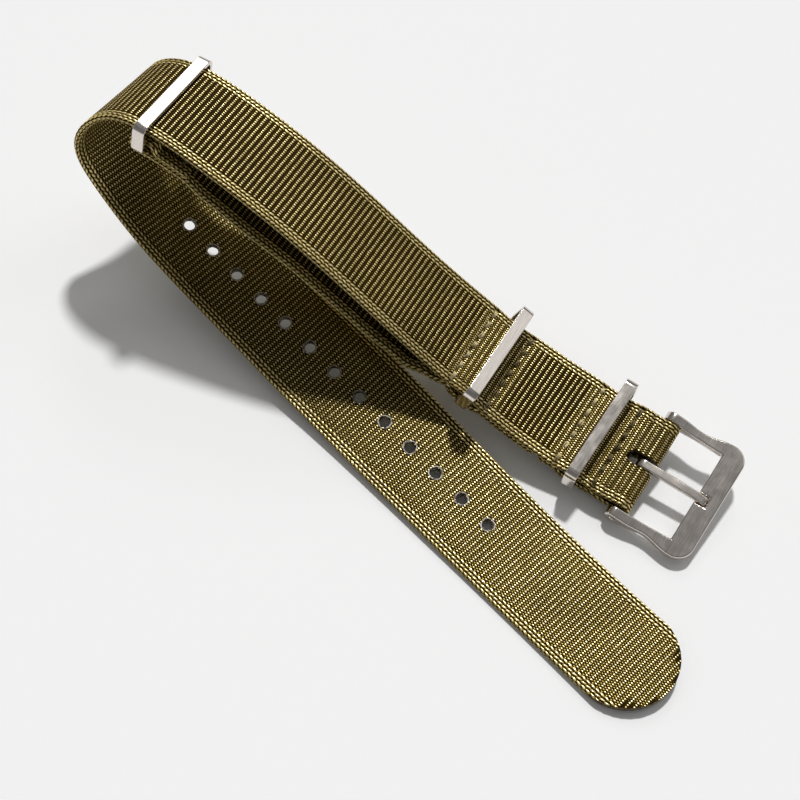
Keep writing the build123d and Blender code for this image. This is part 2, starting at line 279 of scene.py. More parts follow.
def cylinder(radius: float, depth: float, sides: int) -> Thing:
    """Add a cylinder at the origin, along Z.

    Args:
        radius: its radius.
        depth: its length.
        sides: how many sides it has.

    Returns:
        The cylinder.
    """
    deselect()
    bpy.ops.mesh.primitive_cylinder_add(vertices=sides, radius=radius * MM, depth=depth * MM)
    return bpy.context.object


def coat(thing: Thing, finish: Material) -> None:
    """Give a mesh one material alone."""
    thing.data.materials.clear()
    thing.data.materials.append(finish)


@dataclass
class Seat:
    """A place on the strap: a point and the three directions there."""

    centre: Vector
    towards_buckle: Vector
    across: Vector
    outward: Vector

    def point(self, along: float, across: float, out: float) -> Vector:
        """Point at distances from the seat."""
        return self.centre + self.towards_buckle * along + self.across * across + self.outward * out

    def matrix(self) -> Matrix:
        """Matrix in metres with X towards the buckle, Y across and Z outward."""
        turned = Matrix((self.towards_buckle, self.across, self.outward)).transposed().to_4x4()
        return Matrix.Translation(self.centre * MM) @ turned


@dataclass
class StrapLie:
    """How the strap lies on the table, by the length from the buckle's bar."""

    length: float = 273.4
    fold_radius: float = 1.6
    pocket_half_height: float = 0.76
    pocket_half_length: float = 1.8
    layer_gap: float = 0.05
    ring_height: float = 6.4
    front_ring: float = 9.5
    middle_ring: float = 33.5
    rear_ring: float = 107.0
    front_row: float = 4.0
    middle_row: float = 4.2
    rear_row: float = 8.5
    rear_bar_depth: float = 4.15
    rear_settle: float = 3.6
    pinch: float = 0.8
    pinch_reach: float = 3.6
    heading_shares: tuple = (0, 0.146, 0.274, 0.395, 0.446, 0.505, 0.585, 0.732, 0.896, 1)
    headings: tuple = (192, 196, 196, 198, 208, 185.5, 182, 180.5, 179.5, 180.5)
    climb_shares: tuple = (
        0, 0.055, 0.128, 0.219, 0.311, 0.391, 0.435, 0.465, 0.49, 0.523, 0.585, 0.677, 0.786, 1,
    )
    climbs: tuple = (-4, 7, 20.5, 27.5, 19.5, 3, -56, -105, -132.5, -149, -170.5, -174, -175, -184)
    twist_shares: tuple = (0, 0.183, 0.395, 0.476, 0.567, 0.695, 0.841, 1)
    twists: tuple = (12, -2.5, -5.5, -23, -7, -16, -4.5, -1.5)
    bow_shares: tuple = (0.138, 0.149, 0.167, 0.206, 0.255, 0.301, 0.337, 0.357)
    bows: tuple = (0, 0.22, 0.6, 0.72, 0.78, 0.9, 0.84, 0.68)
    steps: int = 564
    centres: list = field(default_factory=list)
    shift: Vector = field(default_factory=lambda: Vector((0, 0, 0)))

    def walk(self) -> None:
        """Step along the strap, keep its centre line, and move it to where the bar's tube is."""
        centre = Vector((0, 0, 0))
        step = self.length / self.steps
        before = self.direction(0)[0]
        self.centres = [centre.copy()]
        for index in range(1, self.steps + 1):
            along = self.direction(index / self.steps)[0]
            centre = centre + (before + along) * (step / 2)
            self.centres.append(centre.copy())
            before = along
        low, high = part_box("bar_tube")
        self.shift = (low + high) / 2 / MM - self.bar().centre

    def direction(self, share: float) -> tuple:
        """Unit vectors along and across the strap.

        Args:
            share: the place, as a share of the strap's length.

        Returns:
            The direction along the strap and the one across it.
        """
        heading = math.radians(cubic_value(self.heading_shares, self.headings, share))
        climb = math.radians(cubic_value(self.climb_shares, self.climbs, share))
        twist = math.radians(cubic_value(self.twist_shares, self.twists, share))
        flat = math.cos(climb)
        along = Vector((flat * math.cos(heading), flat * math.sin(heading), math.sin(climb)))
        level = Vector((math.sin(heading), -math.cos(heading), 0))
        lift = level.cross(along)
        return along, level * math.cos(twist) + lift * math.sin(twist)

    def seat(self, length: float, depth: float = 0.0) -> Seat:
        """Place below the centre line.

        Args:
            length: length from the bar.
            depth: distance below the main strap's middle, towards its inner face.

        Returns:
            The seat there.
        """
        along, across = self.direction(length / self.length)
        outward = across.cross(along)
        place = min(max(length / self.length * self.steps, 0), self.steps - 1)
        index = int(place)
        share = length / self.length * self.steps - index
        centre = self.centres[index].lerp(self.centres[index + 1], share)
        return Seat(centre - outward * depth + self.shift, -along, across, outward)

    def bar(self) -> Seat:
        """Place of the buckle's bar, in the fold."""
        return self.seat(0, self.fold_radius)

    def row(self, length: float, depth: float, travelled: float) -> tuple:
        """Row of a skin: centre, direction across, width and travelled length."""
        seat = self.seat(length, depth)
        return seat.centre, seat.across, self.width(length), travelled

    def fold_row(self, axis: Seat, radius: float, turn: float, at: tuple) -> tuple:
        """Row of a skin that is folded round an axis.

        Args:
            axis: the place of the axis.
            radius: the fold's radius, to the middle of the webbing.
            turn: angle round the axis from straight outward.
            at: the axis' length from the bar, and the length travelled along the webbing.

        Returns:
            Centre, direction across, width and travelled length.
        """
        length, travelled = at
        centre = axis.point(math.sin(turn) * radius, 0, math.cos(turn) * radius)
        return centre, axis.across, self.width(length), travelled

    def width(self, length: float) -> float:
        """Width of the webbing, drawn in at the sewn rings and at the fold."""
        places = (0.0, self.front_ring, self.middle_ring)
        return WEB_WIDTH - self.pinch * max(bell(length - at, self.pinch_reach) for at in places)

    def closed_depth(self) -> float:
        """Distance between the middles of two layers that lie on each other."""
        return WEB_THICKNESS + self.layer_gap

    def pocket_depth(self) -> float:
        """Distance between the middles of two layers round a ring's bar."""
        return 2 * self.pocket_half_height + WEB_THICKNESS

    def sewn_depth(self, length: float, ring: float, row: float, first: tuple) -> float:
        """Depth of a layer that is sewn on either side of a ring's bar.

        Args:
            length: length from the bar.
            ring: the ring's place.
            row: distance of each row of stitches from the ring.
            first: more stations and their depths, before those round the ring.

        Returns:
            The depth there.
        """
        half = self.pocket_half_length
        stations = (*first[0], ring - half, ring + half, ring + row)
        depths = (*first[1], self.pocket_depth(), self.pocket_depth(), self.closed_depth())
        return eased_value(stations, depths, length)

    def flap_depth(self, length: float) -> float:
        """Depth of the folded-back end under the main strap.

        Args:
            length: length from the bar.

        Returns:
            The depth there.
        """
        sewn = (self.closed_depth() + self.pocket_depth()) / 2
        first = (0, self.front_ring - self.front_row), (2 * self.fold_radius, sewn)
        return self.sewn_depth(length, self.front_ring, self.front_row, first)

    def keeper_depth(self, length: float) -> float:
        """Depth of the keeper strap under the main strap.

        Args:
            length: length from the bar.

        Returns:
            The depth there.
        """
        first = (self.middle_ring - self.middle_row,), (self.closed_depth(),)
        sewn = self.sewn_depth(length, self.middle_ring, self.middle_row, first)
        bow = eased_value(self.bow_shares, self.bows, length / self.length)
        end_depth = self.rear_bar_depth + self.keeper_fold_radius()
        free = sewn + bow * self.ring_height
        return free + (end_depth - free) * eased_value(self.rear_stations(), (0, 1), length)

    def rear_stations(self) -> tuple:
        """Lengths between which the keeper strap settles to the rear ring's bar."""
        return self.rear_ring - self.rear_settle, self.rear_ring - self.pocket_half_length

    def stub_depth(self, length: float) -> float:
        """Depth of the keeper strap's turned-back end."""
        lifts = (self.closed_depth(), 2 * self.keeper_fold_radius())
        return self.keeper_depth(length) - eased_value(self.rear_stations(), lifts, length)

    def keeper_fold_radius(self) -> float:
        """Radius of the keeper strap's fold round the rear ring's lower bar."""
        return self.pocket_half_height + WEB_THICKNESS / 2


class Shading:
    """Short ways to add and link shader nodes in one tree."""

    def __init__(self, tree: bpy.types.NodeTree) -> None:
        """Keep the tree that nodes are added to."""
        self.tree = tree

    def add(self, kind: str, inputs: dict | None = None, **settings: object) -> bpy.types.Node:
        """Add a node.

        Args:
            kind: the node's type.
            inputs: what goes into its inputs, by name.
            settings: its attributes.

        Returns:
            The node.
        """
        node = self.tree.nodes.new(kind)
        for name, value in settings.items():
            setattr(node, name, value)
        self.feed(node, inputs or {})
        return node

    def feed(self, node: bpy.types.Node, inputs: dict) -> None:
        """Link outputs, or put constants, into a node's inputs.

        Args:
            node: the node.
            inputs: a socket or a constant for each input, by name.
        """
        for name, source in inputs.items():
            if isinstance(source, Socket):
                self.tree.links.new(source, node.inputs[name])
            else:
                node.inputs[name].default_value = source

    def math(self, operation: str, *values: object, clamp: bool = False) -> Socket:
        """Result of a Math node over one to three sockets or numbers."""
        inputs = dict(enumerate(values))
        return self.add("ShaderNodeMath", inputs, operation=operation, use_clamp=clamp).outputs[0]

    def span(self, share: Socket, low: float, high: float) -> Socket:
        """Value that goes straight from low to high as a share goes from 0 to 1."""
        return self.math("MULTIPLY_ADD", share, high - low, low)

    def ramp(self, value: Socket, low: float, high: float) -> Socket:
        """Smooth step of a value from low to high.

        Args:
            value: the value.
            low: where the step is 0.
            high: where it is 1.

        Returns:
            The step.
        """
        inputs = {"Value": value, "From Min": low, "From Max": high}
        step = self.add("ShaderNodeMapRange", inputs, interpolation_type="SMOOTHSTEP")
        return step.outputs["Result"]

    def blend(self, share: Socket, first: object, second: object) -> Socket:
        """Mix of two colours.

        Args:
            share: share of the second colour.
            first: a colour, or the socket that gives it.
            second: the same for the other colour.

        Returns:
            The mixed colour.
        """
        inputs = {"Factor": share}
        for name, value in (("A", first), ("B", second)):
            inputs[name] = value if isinstance(value, Socket) else (*value, 1.0)
        return self.add("ShaderNodeMix", inputs, data_type="RGBA").outputs["Result"]

    def noise(
        self, vector: Socket, scale: object, detail: float = 2.0, rough: float = 0.5
    ) -> Socket:
        """Noise from 0 to 1 on a vector."""
        inputs = {"Vector": vector, "Scale": scale, "Detail": detail, "Roughness": rough}
        return self.add("ShaderNodeTexNoise", inputs).outputs["Fac"]

    def waver(self, vector: Socket, scale: float, reach: float) -> Socket:
        """Noise round nought, half its reach either way."""
        return self.math("MULTIPLY", self.math("SUBTRACT", self.noise(vector, scale), 0.5), reach)

    def bump(self, height: Socket, distance: float, strength: float = 1.0) -> Socket:
        """Normal of a surface raised by a height, up to a distance."""
        inputs = {"Strength": strength, "Distance": distance * MM, "Height": height}
        return self.add("ShaderNodeBump", inputs).outputs["Normal"]

    def surface(self) -> Socket:
        """Place on the piece."""
        return self.add("ShaderNodeTexCoord").outputs["Object"]


def new_material(name: str) -> tuple:
    """Start a material.

    Args:
        name: the material's name.

    Returns:
        The material, its shading helper and its shader node.
    """
    material = bpy.data.materials.new(name)
    material.use_nodes = True
    return material, Shading(material.node_tree), material.node_tree.nodes["Principled BSDF"]


def new_group(name: str, inputs: dict, outputs: dict) -> tuple:
    """Start a shader node group.

    Args:
        name: the group's name.
        inputs: socket kinds by input name.
        outputs: socket kinds by output name.

    Returns:
        The group, its shading helper, its inputs' values and its output node.
    """
    group = bpy.data.node_groups.new(name, "ShaderNodeTree")
    for way, sockets in (("INPUT", inputs), ("OUTPUT", outputs)):
        for label, kind in sockets.items():
            group.interface.new_socket(label, in_out=way, socket_type=kind)
    shading = Shading(group)
    return group, shading, shading.add("NodeGroupInput").outputs, shading.add("NodeGroupOutput")


@dataclass(frozen=True)
class WeaveGroup:
    """Ribs of warp floats with braided selvedges, from length and distance across, and the crests
    where the webbing paints its highlight.

    A float is a dome whose half length and half width are shares of its cell.
    """

    thread_pitch: float = 0.5
    cord_count: int = 3
    cord_slant: float = 0.7
    edge_fade: float = 0.06
    first_lengths: tuple = (0.2, 0.4)
    first_width: float = 0.34
    second_size: tuple = (0.24, 0.3)
    braid_size: tuple = (0.54, 0.43)
    thread_band: tuple = (0.3, 0.85)
    crest_band: tuple = (0.6, 0.98)

    def cell(self, s: Shading, value: Socket, period: float, shift: float) -> Socket:
        """Distance from the nearest repeat, in shares of the period."""
        turns = s.math("ADD", s.math("DIVIDE", value, period), 0.5 + shift)
        return s.math("SUBTRACT", s.math("FRACT", turns), 0.5)

    def dome(self, s: Shading, places: tuple, sizes: tuple) -> Socket:
        """Height of one float.

        Args:
            s: the group's shading helper.
            places: distance from the float's middle along and across it.
            sizes: its half length and half width.

        Returns:
            The height, from 0 to 1.
        """
        rest = 1.0
        for place, size in zip(places, sizes):
            square = s.math("POWER", s.math("ABSOLUTE", s.math("DIVIDE", place, size)), 2.0)
            rest = s.math("SUBTRACT", rest, square)
        return s.math("SQRT", s.math("MAXIMUM", rest, 0.0))

    def float_row(self, s: Shading, given: object, shift: float, sizes: tuple) -> Socket:
        """Height of the floats of one row, moved by a share of the pitches."""
        along = self.cell(s, given["Length"], RIB_PITCH, shift)
        return self.dome(s, (along, self.cell(s, given["Across"], self.thread_pitch, shift)), sizes)

    def braid(self, s: Shading, edge: Socket, length: Socket) -> Socket:
        """Height of the selvedge's cords, whose links slant to either side in turn.

        Args:
            s: the group's shading helper.
            edge: distance from the webbing's edge.
            length: length along the webbing.

        Returns:
            The height, from 0 to 1.
        """
        cord = s.math("DIVIDE", edge, SELVEDGE / self.cord_count)
        row = s.math("FLOOR", cord)
        in_cord = s.math("SUBTRACT", s.math("FRACT", cord), 0.5)
        way = s.span(s.math("MODULO", s.math("ABSOLUTE", row), 2.0), 1.0, -1.0)
        slant = s.math("MULTIPLY", s.math("MULTIPLY", in_cord, way), self.cord_slant)
        moved = s.math("ADD", slant, s.math("MULTIPLY", row, RIB_PITCH / 2))
        along = self.cell(s, s.math("ADD", length, moved), RIB_PITCH, 0.0)
        return self.dome(s, (along, in_cord), self.braid_size)

    def build(self) -> bpy.types.NodeTree:
        """Build the group.

        Returns:
            The node group, which puts out a thread mask, a crest mask for the painted highlight and
            a height.
        """
        number = "NodeSocketFloat"
        group, s, given, put = new_group(
            "woven_threads",
            {"Length": number, "Across": number, "Second Row": number},
            {"Thread": number, "Crest": number, "Height": number},
        )
        second = given["Second Row"]
        long = s.span(second, *self.first_lengths)
        first_row = self.float_row(s, given, 0.0, (long, self.first_width))
        second_row = self.float_row(s, given, 0.5, self.second_size)
        body = s.math("MAXIMUM", first_row, s.math("MULTIPLY", second_row, second))
        edge = s.math("SUBTRACT", WEB_WIDTH / 2, s.math("ABSOLUTE", given["Across"]))
        selvedge = s.ramp(edge, SELVEDGE + self.edge_fade, SELVEDGE - self.edge_fade)
        inputs = {"Factor": selvedge, "A": body, "B": self.braid(s, edge, given["Length"])}
        height = s.add("ShaderNodeMix", inputs, data_type="FLOAT").outputs["Result"]
        thread = s.ramp(height, *self.thread_band)
        crest_highlight = s.ramp(height, *self.crest_band)
        s.feed(put, {"Height": height, "Thread": thread, "Crest": crest_highlight})
        return group


@dataclass(frozen=True)
class WebbingFinish:
    """Satin olive nylon webbing, with painted shade in the gaps between the floats and a painted
    highlight on their crests; wander and drift are a noise's scale and its reach.
    """

    name: str = "olive_webbing"
    # The gap colour is painted shade down between the floats, the thread colour is the floats' own
    # olive, and the crest colour is a painted highlight on their tops.
    gap: tuple = (0.022, 0.012, 0.0005)
    thread: tuple = (0.5, 0.355, 0.08)
    crest_highlight: tuple = (1.0, 0.87, 0.49)
    relief: float = 0.07
    cloud_scale: float = 70.0
    clouds: tuple = (0.6, 1.4)
    patch_scale: float = 1400.0
    patch_band: tuple = (0.3, 0.75)
    patches: tuple = (0.5, 1.1)
    wander: tuple = (900.0, 0.16)
    drift: tuple = (1700.0, 0.08)
    gap_roughness: float = 0.68
    thread_roughness: float = 0.34
    thread_gloss: float = 0.66
    specular: float = 0.05
    tint: tuple = (1.0, 0.85, 0.5, 1.0)

    def build(self, weave: bpy.types.NodeTree) -> Material:
        """Build the material.

        Args:
            weave: the shared weave group.

        Returns:
            The material.
        """
        material, s, shader = new_material(self.name)
        weave_map = s.add("ShaderNodeUVMap", uv_map="weave").outputs["UV"]
        place = s.add("ShaderNodeSeparateXYZ", {"Vector": weave_map}).outputs
        floats = s.add("ShaderNodeAttribute", attribute_name="second_row").outputs["Fac"]
        # Painted shade where sewing and gathers draw the outer face down.
        painted_recess_shade = s.add("ShaderNodeAttribute", attribute_name="painted_recess_shade").outputs["Fac"]
        surface = s.surface()
        inputs = {
            "Length": s.math("ADD", place["X"], s.waver(surface, *self.wander)),
            "Across": s.math("ADD", place["Y"], s.waver(surface, *self.drift)),
            "Second Row": floats,
        }
        threads = s.add("ShaderNodeGroup", inputs, node_tree=weave).outputs
        # Random patches make the painted crest highlight stronger or weaker.
        patchy = s.ramp(s.noise(surface, self.patch_scale, detail=3.0), *self.patch_band)
        lit = s.math("MULTIPLY", threads["Crest"], s.span(patchy, *self.patches))
        # By the floats' height: painted shade in the gaps, own olive on the floats, painted
        # highlight on the crests.
        colour_with_painted_light = s.blend(lit, s.blend(threads["Thread"], self.gap, self.thread), self.crest_highlight)
        shade = s.span(s.noise(surface, self.cloud_scale), *self.clouds)
        # Random cloudy tone, darkened by the painted shade of the drawn-down places.
        shade = s.math("MULTIPLY", shade, s.math("SUBTRACT", 1.0, painted_recess_shade))
        toned = s.add("ShaderNodeVectorMath", {0: colour_with_painted_light, "Scale": shade}, operation="SCALE")
        rough = s.span(threads["Thread"], self.gap_roughness, self.thread_roughness)
        s.feed(shader, {
            "Base Color": toned.outputs["Vector"],
            "Roughness": rough,
            "Metallic": s.math("MULTIPLY", threads["Thread"], self.thread_gloss),
            "Specular IOR Level": self.specular,
            "Specular Tint": self.tint,
            "Normal": s.bump(threads["Height"], self.relief),
        })
        return material


@dataclass(frozen=True)
class ThreadFinish:
    """Sewing thread, twisted from a few strands."""

    name: str
    dark: tuple
    light: tuple
    twist_scale: float = 2600.0
    twist_distortion: float = 1.5
    fibre_scale: float = 5000.0
    fibres: tuple = (0.25, 0.75)
    strength: float = 0.62
    roughness: tuple = (0.55, 0.4)
    relief: float = 0.06

    def build(self) -> Material:
        """Build the material.

        Returns:
            The material.
        """
        material, s, shader = new_material(self.name)
        surface = s.surface()
        twist = {"Vector": surface, "Scale": self.twist_scale, "Distortion": self.twist_distortion}
        strands = s.add("ShaderNodeTexWave", twist, wave_type="BANDS", bands_direction="DIAGONAL")
        fibre = s.span(s.noise(surface, self.fibre_scale), *self.fibres)
        both = s.math("ADD", strands.outputs["Fac"], fibre)
        mask = s.math("MULTIPLY", both, self.strength, clamp=True)
        s.feed(shader, {
            "Base Color": s.blend(mask, self.dark, self.light),
            "Roughness": s.span(mask, *self.roughness),
            "Normal": s.bump(mask, self.relief),
        })
        return material


@dataclass(frozen=True)
class MeltedFinish:
    """Nylon melted by a hot punch or knife: glassy and uneven."""

    name: str
    pale: tuple
    burnt: tuple
    spot_scale: float = 2200.0
    spot_band: tuple = (0.35, 0.62)
    lump_scale: float = 3500.0
    roughness: tuple = (0.6, 0.4)
    specular: float = 0.2
    relief: float = 0.08

    def build(self) -> Material:
        """Build the material.

        Returns:
            The material.
        """
        material, s, shader = new_material(self.name)
        surface = s.surface()
        spots = s.ramp(s.noise(surface, self.spot_scale, detail=4.0), *self.spot_band)
        s.feed(shader, {
            "Base Color": s.blend(spots, self.burnt, self.pale),
            "Roughness": s.span(spots, *self.roughness),
            "Specular IOR Level": self.specular,
            "Normal": s.bump(s.noise(surface, self.lump_scale, detail=3.0), self.relief),
        })
        return material


PUNCHED = MeltedFinish("punched_nylon", pale=(0.86, 0.82, 0.76), burnt=(0.22, 0.19, 0.15))
SEALED = MeltedFinish("sealed_nylon", pale=(0.2, 0.155, 0.07), burnt=(0.05, 0.036, 0.014))
# The first is the sewing thread as it looks in light; the second is the same thread darkened with
# painted shade, for the rows that lie in the rings' shade.
LOOSE = ThreadFinish("loose_thread", dark=(0.34, 0.25, 0.07), light=(1.0, 0.87, 0.5))
SHADED_THREAD = ThreadFinish("shaded_thread", dark=(0.03, 0.02, 0.006), light=(0.3, 0.23, 0.09))


@dataclass(frozen=True)
class GrainGroup:
    """Brushing lines and cloudiness of satin steel."""

    detail: float = 4.0
    sharpness: float = 0.7
    cloud_scale: float = 450.0

    def build(self) -> bpy.types.NodeTree:
        """Build the group.

        Returns:
            The node group, which puts out a grain mask and a cloud mask.
        """
        number = "NodeSocketFloat"
        group, s, given, put = new_group(
            "steel_grain",
            {"Vector": "NodeSocketVector", "Stretch": number, "Fineness": number},
            {"Grain": number, "Cloud": number},
        )
        drawn = s.add("ShaderNodeCombineXYZ", {"X": given["Stretch"], "Y": 1.0, "Z": 1.0})
        inputs = {0: given["Vector"], 1: drawn.outputs["Vector"]}
        scaled = s.add("ShaderNodeVectorMath", inputs, operation="MULTIPLY").outputs["Vector"]
        grain = s.noise(scaled, given["Fineness"], self.detail, self.sharpness)
        s.feed(put, {"Grain": grain, "Cloud": s.noise(given["Vector"], self.cloud_scale)})
        return group


@dataclass(frozen=True)
class SteelFinish:
    """Stainless steel, brushed along one direction of the piece."""

    name: str
    along: tuple
    base: tuple = (0.715, 0.66, 0.605)
    shades: tuple = (0.9, 1.08)
    grain_band: tuple = (0.36, 0.64)
    roughness: float = 0.13
    cloudiness: float = 0.06
    grain_roughness: float = 0.04
    scratch: float = 0.003
    scratch_strength: float = 0.7
    stretch: float = 0.06
    fineness: float = 4500.0

    def build(self, grain: bpy.types.NodeTree) -> Material:
        """Build the material.

        Args:
            grain: the shared grain group.

        Returns:
            The material.
        """
        material, s, shader = new_material(self.name)
        line = Vector(self.along).normalized()
        rotation = line.to_track_quat("X", "Z").inverted().to_euler()
        turned = s.add("ShaderNodeMapping", {"Vector": s.surface(), "Rotation": rotation})
        inputs = {
            "Vector": turned.outputs["Vector"],
            "Stretch": self.stretch,
            "Fineness": self.fineness,
        }
        lines = s.add("ShaderNodeGroup", inputs, node_tree=grain).outputs
        dark, light = (tuple(min(part * by, 1.0) for part in self.base) for by in self.shades)
        low, high = self.roughness - self.cloudiness, self.roughness + self.cloudiness
        cloudy = s.span(lines["Cloud"], low, high)
        s.feed(shader, {
            "Base Color": s.blend(s.ramp(lines["Grain"], *self.grain_band), dark, light),
            "Metallic": 1.0,
            "Roughness": s.math("MULTIPLY_ADD", lines["Grain"], self.grain_roughness, cloudy),
            "Normal": s.bump(lines["Grain"], self.scratch, self.scratch_strength),
        })
        return material


@dataclass
class SewnLine:
    """A line of stitches that draws the webbing in."""

    length: float
    depth: float
    reach: float = 0.55
    margin: float = 0.2
    between: float = 0.3

    def sink(self, across: float, length: float) -> float:
        """How far the skin is drawn down, deepest where the thread goes in.

        Args:
            across: distance from the middle of the width.
            length: length along the webbing.

        Returns:
            The distance.
        """
        if abs(across) >= STITCH_PITCH * STITCH_COUNT / 2 + self.margin:
            return 0.0
        knot = 0.5 - 0.5 * math.cos(2 * math.pi * across / STITCH_PITCH)
        drawn = self.between + (1 - self.between) * knot**3
        return self.depth * bell(length - self.length, self.reach) * drawn


@dataclass
class WovenSkin:
    """Closed skin of webbing round a row of places, with ribs and raised edges in its mesh."""

    name: str
    sewn: tuple = ()
    gathers: tuple = ()
    rings: tuple = ()
    rows_per_rib: int = 5
    rib_depth: float = 0.12
    valley: float = 0.17
    link_dip: float = 0.06
    cord_count: int = 3
    cord_fullness: float = 0.7
    edge_round: float = 0.33
    edge_overlap: float = 0.6
    edge_margin: float = 0.01
    # How strongly drawn-down places are darkened with painted shade, and its limit.
    recess_gain: float = 1.6
    recess_limit: float = 0.85
    loose_floats: float = 0.42
    tight_floats: float = 0.7
    smooth_angle: float = 60.0
    insets: tuple = (0.05, 0.18, 0.36, 0.55, 0.68, 0.83, 1.0, 1.17, 1.32, 1.48, 1.65, 1.81, 1.95)
    inner: tuple = (5.0, 1.5, 0.0, -1.5, -5.0)
    section: list = field(default_factory=list)

    def shape_section(self) -> None:
        """Fill in the points round the section: distance across and side of the webbing."""
        half = WEB_WIDTH / 2
        columns = [half - gap for gap in self.insets]
        spread = [*columns, *self.inner, *(-value for value in reversed(columns))]
        top = [(value, Face.OUTER) for value in spread]
        bottom = [(-value, Face.INNER) for value in spread]
        self.section = [*top, (-half, Face.EDGE), *bottom, (half, Face.EDGE)]

    def sink(self, across: float, length: float, side: Face) -> float:
        """How far sewing and gathers draw the outer face down.

        Args:
            across: distance from the middle of the width.
            length: length along the webbing.
            side: the side of the webbing.

        Returns:
            The distance, nought on the other sides.
        """
        if side is not Face.OUTER:
            return 0.0
        drawn = sum(line.sink(across, length) for line in self.sewn)
        return drawn + sum(deep * bell(length - at, reach) for at, reach, deep in self.gathers)

    def height(self, across: float, length: float, side: Face) -> float:
        """Height of the skin over the webbing's middle.

        Args:
            across: distance from the middle of the width.
            length: length along the webbing, which gives the place on the ribs.
            side: the side of the webbing.

        Returns:
            The height, negative on the inner face.
        """
        if side is Face.EDGE:
            return 0.0
        edge = WEB_WIDTH / 2 - abs(across)
        half = WEB_THICKNESS / 2
        phase = 2 * math.pi * length / RIB_PITCH
        if edge < SELVEDGE - self.edge_margin:
            cord = self.cord_count * edge / SELVEDGE
            bulge = abs(math.sin(math.pi * cord)) ** self.cord_fullness
            link = 0.5 + 0.5 * math.cos(phase + math.pi * math.floor(cord))
            rise = half - self.valley * (1 - bulge) - self.link_dip * (1 - link)
            if edge < self.edge_round:
                rise *= math.sqrt(1 - (1 - edge / self.edge_round) ** 2)
        else:
            rise = half - self.rib_depth * (1 - math.cos(phase)) / 2
        return (rise - self.sink(across, length, side)) * side.value

    def tightness(self, length: float, side: Face) -> float:
        """Share of the second row of floats that shows, more on the inner face and by rings.

        Args:
            length: length along the webbing.
            side: the side of the webbing.

        Returns:
            The share.
        """
        if side is Face.INNER:
            return self.tight_floats
        near = 0.0
        for place, reach, fade in self.rings:
            near = max(near, eased_value((0, reach, reach + fade), (1, 1, 0), abs(length - place)))
        return self.loose_floats + (self.tight_floats - self.loose_floats) * near

    def shape(self, mesh: bpy.types.Mesh, places: list) -> None:
        """Lay a grid mesh round the places, and give it its UV map and its attributes: the share of
        second-row floats, and painted shade where sewing and gathers draw the face down.

        Args:
            mesh: the grid, one row for each place and a column for each point of the section.
            places: the rows, as in build.
        """
        rows = len(places)
        round_count = len(self.section)
        floats = [0.0] * len(mesh.vertices)
        painted_recess_shade = [0.0] * len(mesh.vertices)
        spots = [(0.0, 0.0)] * len(mesh.vertices)
        for row, (centre, across, width, travelled) in enumerate(places):
            before = places[max(row - 1, 0)][0]
            after = places[min(row + 1, rows - 1)][0]
            outward = across.cross((after - before).normalized()).normalized()
            stretch = width / WEB_WIDTH
            tight = {side: self.tightness(travelled, side) for side in Face}
            for column in range(round_count + 1):
                wide, side = self.section[column % round_count]
                high = self.height(wide, travelled, side)
                index = column * rows + row
                spot = centre + across * (wide * stretch) + outward * high
                mesh.vertices[index].co = spot * MM
                floats[index] = tight[side]
                # Painted shade, deepest where the face is drawn down the most.
                sunk = self.sink(wide, travelled, side) * self.recess_gain
                painted_recess_shade[index] = min(sunk, self.recess_limit)
                over = math.copysign(self.edge_overlap, wide) if side is Face.EDGE else 0.0
                spots[index] = (travelled, wide + over)
        for name, values in (("second_row", floats), ("painted_recess_shade", painted_recess_shade)):
            mesh.attributes.new(name, "FLOAT", "POINT").data.foreach_set("value", values)
        layer = mesh.uv_layers[0]
        layer.name = "weave"
        for loop in mesh.loops:
            layer.data[loop.index].uv = spots[loop.vertex_index]

    def build(self, places: list) -> Thing:
        """Build the skin.

        Args:
            places: centre, direction across, width and travelled length of each row.

        Returns:
            The mesh object, with its UV map and attributes.
        """
        self.shape_section()
        deselect()
        bpy.ops.mesh.primitive_grid_add(
            x_subdivisions=len(places) - 1,
            y_subdivisions=len(self.section),
            size=1.0,
            calc_uvs=True,
        )
        skin = bpy.context.object
        rename(skin, self.name)
        self.shape(skin.data, places)
        open_mesh(skin)
        bpy.ops.mesh.remove_doubles(threshold=WELD_DISTANCE)
        bpy.ops.mesh.select_all(action="DESELECT")
        bpy.ops.mesh.select_non_manifold(extend=False, use_boundary=True)
        bpy.ops.mesh.fill_holes(sides=0)
        bpy.ops.mesh.select_all(action="SELECT")
        bpy.ops.mesh.normals_make_consistent(inside=False)
        bpy.ops.object.mode_set(mode="OBJECT")
        bpy.ops.object.shade_smooth_by_angle(angle=math.radians(self.smooth_angle))
        return skin


